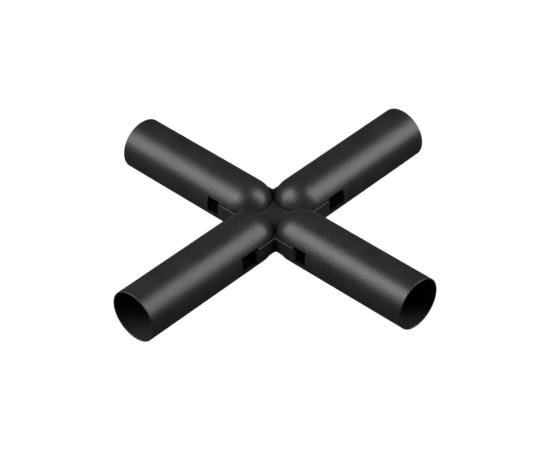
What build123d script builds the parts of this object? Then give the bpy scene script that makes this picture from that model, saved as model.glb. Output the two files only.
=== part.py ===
"""Four-way cross connector for round poles, pressed, rolled and welded from sheet steel.

Two pressed hub shells face each other across four bent corner brackets, and a rolled
tube sleeve is welded to each pair of necks. The frame is +Z up, with the origin where
the axes of the four arms cross.
"""

import os

from build123d import *

# Driving dimensions, in millimetres
tube_radius = 19.0  # outside of the sleeves, necks and noses
wall = 1.2  # thickness of the sheet
drawn_wall = 1.0  # thickness left in the noses and necks, where drawing thins the sheet
reach_side = 134.6  # hub centre to the mouths of the left and right arms
reach_end = 130.0  # hub centre to the mouths of the front and back arms
sleeve_length = 84.0  # rolled tube sleeves, the same on all four arms
web_face = 5.9  # outer faces of the flat hub webs, above and below the arm axes
nose_centre = 26.6  # hub centre to the centre of each rounded nose
bracket_bend = 34.9  # where a bracket leaves the side of an arm and turns into the bore
stop_face = 37.4  # the face that an inserted pole rests against
stop_tip = 9.0  # how near to the arm's axis a stop flange reaches
stop_radius = 2.5  # outside of a bracket's bends into the bores
corner_radius = 1.2  # inside of a bracket's bend in the corner between two arms
edge_round = 0.5  # rounding of the welds along the edges of the webs
weld_width = 1.0  # width of the ground-flush welds round and along the sleeves
window_top = 6.9  # upper edge of the side windows, above the arm axis
window_low = 5.0  # lower edge of the side windows, below the arm axis
window_slope = 0.8  # length over which a neck's free edge steps from the web to a window
mouth_break = 0.25  # broken edges of the sleeve mouths

# Values that follow from them
bore_radius = tube_radius - wall
drawn_radius = tube_radius - drawn_wall
web_inner = web_face - wall
overshoot = 2 * tube_radius

# Turn of each arm and corner about +Z, in degrees
arms = {
    "right": (0, reach_side),
    "back": (90, reach_end),
    "left": (180, reach_side),
    "front": (270, reach_end),
}
corners = {"back_right": 0, "back_left": 90, "front_left": 180, "front_right": 270}


def along(angle):
    """Unit vector that runs outwards along an arm."""
    return Vector(1, 0, 0).rotate(Axis.Z, angle)


def cross_plane(angle, distance):
    """Plane square to an arm, at a distance from the hub centre, with its y axis up."""
    return Plane(origin=along(angle) * distance, x_dir=along(angle + 90), z_dir=along(angle))


def long_plane(angle, distance):
    """Upright plane through an arm's axis, with its x axis outwards and its y axis up."""
    return Plane(origin=along(angle) * distance, x_dir=along(angle), z_dir=along(angle - 90))


def neck_end(reach):
    """Distance from the hub centre to the end of an arm's necks."""
    return reach - sleeve_length - weld_width


def save(part, label):
    """Label a finished piece and write it to its own STEP file."""
    part.label = label
    export_step(part, f"parts/{label}.step")


def web_outline():
    """Flat cross with rounded corners, set in by one wall from the arms' sides."""
    with BuildSketch() as outline:
        Rectangle(2 * bracket_bend, 2 * bore_radius)
        Rectangle(2 * bore_radius, 2 * bracket_bend)
        inner_corners = vertices().sort_by(lambda vertex: Vector(vertex).length)[:4]
        fillet(inner_corners, corner_radius + wall)
    return outline.sketch


def round_section(angle, radius):
    """Circle square to an arm, where its rounded nose ends and its neck begins."""
    with BuildSketch(cross_plane(angle, nose_centre)) as section:
        Circle(radius)
    return section.sketch


def trim_outline(angle, reach, window_edge):
    """Side view of what is cut away below the web and below the free edges of the necks."""
    with BuildSketch(long_plane(angle, 0)) as outline:
        with BuildLine():
            Polyline(
                (0, -tube_radius),
                (0, web_inner),
                (bracket_bend, web_inner),
                (bracket_bend, web_face),
                (bracket_bend + window_slope, window_edge),
                (neck_end(reach), window_edge),
                (neck_end(reach), -tube_radius),
                close=True,
            )
        make_face()
    return outline.sketch


def corner_outline(angle):
    """Plan view of the open corner between two arms, set in by one wall from their sides."""
    with BuildSketch(Plane.XY.rotated((0, 0, angle))) as outline:
        with Locations((bore_radius, bore_radius)):
            Rectangle(bracket_bend, bracket_bend, align=(Align.MIN, Align.MIN))
        inner_corner = vertices().sort_by(lambda vertex: Vector(vertex).length)[0]
        fillet(inner_corner, corner_radius + wall)
    return outline.sketch


def hub_shell(window_edge):
    """Pressed shell: a flat web, four rounded noses and four half-round necks."""
    with BuildPart() as shell:
        extrude(web_outline(), amount=web_face)
        for angle, reach in arms.values():
            with Locations(along(angle) * nose_centre):
                Sphere(tube_radius)
            extrude(round_section(angle, tube_radius), amount=neck_end(reach) - nose_centre)
        for angle, reach in arms.values():
            with Locations(along(angle) * nose_centre):
                Sphere(drawn_radius, mode=Mode.SUBTRACT)
            extrude(round_section(angle, drawn_radius), amount=reach, mode=Mode.SUBTRACT)
            trim = trim_outline(angle, reach, window_edge)
            extrude(trim, amount=overshoot, both=True, mode=Mode.SUBTRACT)
        for angle in corners.values():
            extrude(corner_outline(angle), amount=web_face, mode=Mode.SUBTRACT)
    return shell.part


def corner_strip(angle, height, thickness, ends):
    """Strip of one wall's width that follows the sides of two arms round their corner."""
    corner = (tube_radius, tube_radius)
    with BuildPart() as strip:
        with BuildSketch(Plane.XY.offset(height).rotated((0, 0, angle))):
            with BuildLine():
                if ends == "stops":
                    FilletPolyline(
                        (stop_face, stop_tip),
                        (stop_face, tube_radius),
                        corner,
                        (tube_radius, stop_face),
                        (stop_tip, stop_face),
                        radius=[stop_radius, corner_radius, stop_radius],
                    )
                else:
                    FilletPolyline(
                        (bracket_bend, tube_radius),
                        corner,
                        (tube_radius, bracket_bend),
                        radius=corner_radius,
                    )
                offset(amount=wall, side=Side.LEFT)
            make_face()
        extrude(amount=thickness)
    return strip.part


os.makedirs("parts", exist_ok=True)

# Hub shells
with BuildPart() as upper_hub_shell:
    add(hub_shell(window_top))
save(upper_hub_shell.part, "upper_hub_shell")

with BuildPart() as lower_hub_shell:
    add(hub_shell(window_low))
    mirror(about=Plane.XY, mode=Mode.REPLACE)
save(lower_hub_shell.part, "lower_hub_shell")

# Corner brackets, whose bent ends are the pole stops, and the welds along the webs' edges
for name, angle in corners.items():
    bracket = corner_strip(angle, -web_inner, 2 * web_inner, "stops")
    save(bracket, f"corner_bracket_{name}")

    with BuildPart() as corner_welds:
        add(corner_strip(angle, web_inner, wall, "plain"))
        open_side = Vector(overshoot, overshoot, web_face).rotate(Axis.Z, angle)
        top_edges = faces().sort_by(Axis.Z)[-1].edges()
        fillet(top_edges.sort_by(lambda edge: edge.distance_to(open_side))[:3], edge_round)
        mirror(about=Plane.XY)
    save(corner_welds.part, f"corner_welds_{name}")

# Tube sleeves, with the welds along their seams and round their joints with the necks
for name, (angle, reach) in arms.items():
    with BuildPart() as arm_sleeve:
        with BuildSketch(cross_plane(angle, reach - sleeve_length)):
            Circle(tube_radius)
            Circle(bore_radius, mode=Mode.SUBTRACT)
            Rectangle(weld_width, tube_radius, align=(Align.CENTER, Align.MAX), mode=Mode.SUBTRACT)
        extrude(amount=sleeve_length)
        mouth = faces().sort_by(Axis((0, 0, 0), along(angle)))[-1]
        chamfer(mouth.edges().filter_by(GeomType.CIRCLE), mouth_break)
    save(arm_sleeve.part, f"arm_sleeve_{name}")

    with BuildPart() as seam_weld:
        with BuildSketch(cross_plane(angle, reach - sleeve_length)):
            Circle(tube_radius)
            Circle(bore_radius, mode=Mode.SUBTRACT)
            Rectangle(weld_width, tube_radius, align=(Align.CENTER, Align.MAX), mode=Mode.INTERSECT)
        extrude(amount=sleeve_length - mouth_break)
    save(seam_weld.part, f"seam_weld_{name}")

    with BuildPart() as neck_weld:
        with BuildSketch(cross_plane(angle, neck_end(reach))):
            Circle(tube_radius)
            Circle(drawn_radius, mode=Mode.SUBTRACT)
            with Locations((0, -window_low)):
                window = (overshoot, window_low + window_top)
                Rectangle(*window, align=(Align.CENTER, Align.MIN), mode=Mode.SUBTRACT)
        extrude(amount=weld_width)
    save(neck_weld.part, f"neck_weld_{name}")
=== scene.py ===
"""Black powder-coated cross connector, lit by three softboxes on a pale floor."""

from math import cos, radians, sin

import bpy
from mathutils import Matrix, Vector


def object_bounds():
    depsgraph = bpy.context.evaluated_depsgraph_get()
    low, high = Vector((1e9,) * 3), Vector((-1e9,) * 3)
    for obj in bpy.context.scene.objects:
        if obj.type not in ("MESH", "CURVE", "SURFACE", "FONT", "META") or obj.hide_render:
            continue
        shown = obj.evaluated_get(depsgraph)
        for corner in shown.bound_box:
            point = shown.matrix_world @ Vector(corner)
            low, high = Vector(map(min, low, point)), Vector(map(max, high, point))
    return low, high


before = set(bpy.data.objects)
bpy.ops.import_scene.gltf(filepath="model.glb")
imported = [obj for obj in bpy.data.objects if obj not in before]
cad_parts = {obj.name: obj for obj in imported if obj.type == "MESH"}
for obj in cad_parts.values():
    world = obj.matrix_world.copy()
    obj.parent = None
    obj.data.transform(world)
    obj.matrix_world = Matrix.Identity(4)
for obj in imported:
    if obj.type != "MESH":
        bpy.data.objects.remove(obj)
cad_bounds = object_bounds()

MM = 0.001
WHITE = (1, 1, 1, 1)
BLACK = (0, 0, 0, 1)
SQUARE = [(-1, -1), (1, -1), (1, 1), (-1, 1)]

# Camera: the direction that it looks in, and the point that its axis passes through
VIEW_AZIMUTH = radians(45.79)  # from +Y towards +X
VIEW_DIP = radians(39.54)  # below the horizon
VIEW_ROLL = radians(-1.363)
VIEW_DISTANCE = 1.544
VIEW_AIM = Vector((-1.31, -1.84, -2.69)) * MM
VIEW_LENS = 146.9
VIEW_NEAR = 0.05

# Powder coat. A scale is in features per metre.
COAT_COLOUR = (0.021, 0.021, 0.021, 1)
COAT_ROUGHNESS = 0.38
COAT_SPECULAR = 0.5
CLOUD_SCALE = 60  # slow drift in tone
CLOUD_TONES = (0.85, 1.15)
PATCH_SCALE = 250  # duller and glossier patches
PATCH_ROUGHNESS = 0.02
RIPPLE_SCALE = 220  # the unevenness of the metal underneath
GRAIN_SCALE = 800  # the coat's own texture
GRAIN_HEIGHT = 0.14 * MM
SHEET_RIPPLE = 0.01 * MM
WELD_RIPPLE = 0.06 * MM

# Creases, where two surfaces meet: shade is painted into them, with the coat's colour and
# specular darkened deep in them and the coat made duller there
CREASE_REACH = 2.3 * MM
CREASE_SAMPLES = 8
CREASE_SPAN = (0.739, 0.871)  # openness deep in a crease, and where the crease ends
# Painted shade: the coat's colour deep in a crease, as a fraction of the open surface's
CREASE_PAINTED_SHADE = 0.1  # against the open surface's
CREASE_ROUGHNESS = 1.0
# Painted shade: the specular level deep in a crease
CREASE_SHADED_SPECULAR = 0.08

# The middle of a noise texture's range, which is stretched over the range that is wanted
NOISE_SPAN = (0.3, 0.7)
NOISE_DETAIL = 2.0

# Floor, and the light that comes off it onto the object
FLOOR_HALF_WIDTH = 3.0
FLOOR_COLOUR = (0.1, 0.1, 0.1, 1)
FLOOR_GLOW = 1.0
CARD_HALF_WIDTH = 1.5
CARD_GAP = 0.02 * MM  # above the floor
CARD_GLOW = 0.05

# Softboxes: degrees round from the camera towards the picture's right, degrees up from
# the floor, width and height in metres, and power in watts
BOX_DISTANCE = 1.6
SOFTBOXES = {
    "left_softbox": (-90, 36.5, 0.9, 1.5, 20.0),
    "left_front_softbox": (-60, 48.0, 0.9, 0.9, 10.5),
    "right_softbox": (90, 36.5, 0.9, 1.5, 23.0),
}


def linked_object(name, data):
    """A new object with this data, in the scene."""
    obj = bpy.data.objects.new(name, data)
    bpy.context.scene.collection.objects.link(obj)
    return obj


def compass(azimuth, rise):
    """The unit vector at an azimuth from +Y towards +X and an angle above the floor."""
    return Vector((sin(azimuth) * cos(rise), cos(azimuth) * cos(rise), sin(rise)))


def aimed(obj, place, target):
    """Puts a lamp or camera at a place and turns it to look at a target."""
    obj.location = place
    obj.rotation_mode = "QUATERNION"
    obj.rotation_quaternion = (Vector(target) - Vector(place)).to_track_quat("-Z", "Y")


def make_camera():
    data = bpy.data.cameras.new("camera")
    data.lens = VIEW_LENS
    data.clip_start = VIEW_NEAR
    camera = linked_object("camera", data)
    ahead = compass(VIEW_AZIMUTH, -VIEW_DIP)
    aimed(camera, VIEW_AIM - VIEW_DISTANCE * ahead, VIEW_AIM)
    roll = Matrix.Rotation(-VIEW_ROLL, 3, ahead).to_quaternion()
    camera.rotation_quaternion = roll @ camera.rotation_quaternion
    bpy.context.scene.camera = camera


def make_softbox(name, side, rise, width, height, power):
    """Hangs a softbox beside the camera's line of sight, aimed at the hub."""
    data = bpy.data.lights.new(name, "AREA")
    data.shape = "RECTANGLE"
    data.size = width
    data.size_y = height
    data.energy = power
    azimuth = VIEW_AZIMUTH - radians(180 + side)
    aimed(linked_object(name, data), BOX_DISTANCE * compass(azimuth, radians(rise)), (0, 0, 0))


def node_material(name):
    """A new node material, its tree and its Principled shader."""
    material = bpy.data.materials.new(name)
    material.use_nodes = True
    return material, material.node_tree, material.node_tree.nodes["Principled BSDF"]


def noise(tree, scale):
    """Noise in the piece's own space, of about one feature per 1 / scale metres."""
    place = tree.nodes.new("ShaderNodeTexCoord")
    texture = tree.nodes.new("ShaderNodeTexNoise")
    texture.inputs["Scale"].default_value = scale
    texture.inputs["Detail"].default_value = NOISE_DETAIL
    tree.links.new(place.outputs["Object"], texture.inputs["Vector"])
    return texture.outputs["Fac"]


def openness(tree):
    """1 on an open surface, and less the nearer it is to a crease."""
    occlusion = tree.nodes.new("ShaderNodeAmbientOcclusion")
    occlusion.samples = CREASE_SAMPLES
    occlusion.inputs["Distance"].default_value = CREASE_REACH
    return occlusion.outputs["AO"]


def spread(tree, value, span, low, high):
    """Maps a span of a value to the range from low to high, which it doesn't leave."""
    ramp = tree.nodes.new("ShaderNodeMapRange")
    ramp.inputs["From Min"].default_value = span[0]
    ramp.inputs["From Max"].default_value = span[1]
    ramp.inputs["To Min"].default_value = low
    ramp.inputs["To Max"].default_value = high
    tree.links.new(value, ramp.inputs["Value"])
    return ramp.outputs["Result"]


def combine(tree, operation, first, second):
    """One math node on two values."""
    result = tree.nodes.new("ShaderNodeMath")
    result.operation = operation
    tree.links.new(first, result.inputs[0])
    tree.links.new(second, result.inputs[1])
    return result.outputs["Value"]


def bump(tree, scale, height):
    """A bump node driven by noise."""
    relief = tree.nodes.new("ShaderNodeBump")
    relief.inputs["Distance"].default_value = height
    tree.links.new(noise(tree, scale), relief.inputs["Height"])
    return relief


def coat(name, ripple):
    """Fine-textured black powder coat over metal whose own unevenness is ripple high, with shade
    painted into its creases.
    """
    material, tree, shader = node_material(name)
    crease = openness(tree)

    cloud = spread(tree, noise(tree, CLOUD_SCALE), NOISE_SPAN, *CLOUD_TONES)
    # Painted shade: the base colour goes towards black deep in creases
    painted_crease_shade = spread(tree, crease, CREASE_SPAN, CREASE_PAINTED_SHADE, 1.0)
    tint = tree.nodes.new("ShaderNodeMix")
    tint.data_type = "RGBA"
    tint.clamp_factor = False
    tint.inputs["A"].default_value = BLACK
    tint.inputs["B"].default_value = COAT_COLOUR
    tree.links.new(combine(tree, "MULTIPLY", cloud, painted_crease_shade), tint.inputs["Factor"])
    tree.links.new(tint.outputs["Result"], shader.inputs["Base Color"])

    patch = spread(tree, noise(tree, PATCH_SCALE), NOISE_SPAN, -PATCH_ROUGHNESS, PATCH_ROUGHNESS)
    dull = spread(tree, crease, CREASE_SPAN, CREASE_ROUGHNESS, COAT_ROUGHNESS)
    tree.links.new(combine(tree, "ADD", patch, dull), shader.inputs["Roughness"])
    # Painted shade: the specular level is lowered deep in creases
    crease_shaded_gloss = spread(tree, crease, CREASE_SPAN, CREASE_SHADED_SPECULAR, COAT_SPECULAR)
    tree.links.new(crease_shaded_gloss, shader.inputs["Specular IOR Level"])

    waves = bump(tree, RIPPLE_SCALE, ripple)
    grain = bump(tree, GRAIN_SCALE, GRAIN_HEIGHT)
    tree.links.new(waves.outputs["Normal"], grain.inputs["Normal"])
    tree.links.new(grain.outputs["Normal"], shader.inputs["Normal"])
    return material


def glowing_square(name, paint, half_width, height, colour, glow):
    """A level, matt square that gives off a little white light."""
    mesh = bpy.data.meshes.new(name)
    corners = [(half_width * x, half_width * y, height) for x, y in SQUARE]
    mesh.from_pydata(corners, [], [(0, 1, 2, 3)])
    square = linked_object(name, mesh)
    material, _, shader = node_material(paint)
    shader.inputs["Base Color"].default_value = colour
    shader.inputs["Roughness"].default_value = 1.0
    shader.inputs["Specular IOR Level"].default_value = 0.0
    shader.inputs["Emission Color"].default_value = WHITE
    shader.inputs["Emission Strength"].default_value = glow
    mesh.materials.append(material)
    return square


def make_floor():
    """The floor, which is only seen, and a dim card on it, which only lights the object."""
    level = cad_bounds[0].z
    floor = glowing_square(
        "floor", "floor_paint", FLOOR_HALF_WIDTH, level, FLOOR_COLOUR, FLOOR_GLOW)
    floor.visible_diffuse = False
    floor.visible_glossy = False
    card = glowing_square(
        "bounce_card", "bounce_paint", CARD_HALF_WIDTH, level + CARD_GAP, BLACK, CARD_GLOW)
    card.visible_camera = False
    card.visible_shadow = False


def make_world():
    """A white background, which is only seen."""
    world = bpy.data.worlds.new("studio")
    world.use_nodes = True
    world.node_tree.nodes["Background"].inputs["Color"].default_value = WHITE
    world.cycles_visibility.diffuse = False
    world.cycles_visibility.glossy = False
    bpy.context.scene.world = world


materials = {
    "powder_coat": coat("powder_coat", SHEET_RIPPLE),
    "coated_weld": coat("coated_weld", WELD_RIPPLE),
}
for name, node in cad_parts.items():
    kind = "coated_weld" if "weld" in name else "powder_coat"
    for slot in node.material_slots:
        slot.material = materials[kind]

bpy.context.scene.view_settings.view_transform = "Standard"
make_camera()
make_world()
make_floor()
for name, settings in SOFTBOXES.items():
    make_softbox(name, *settings)
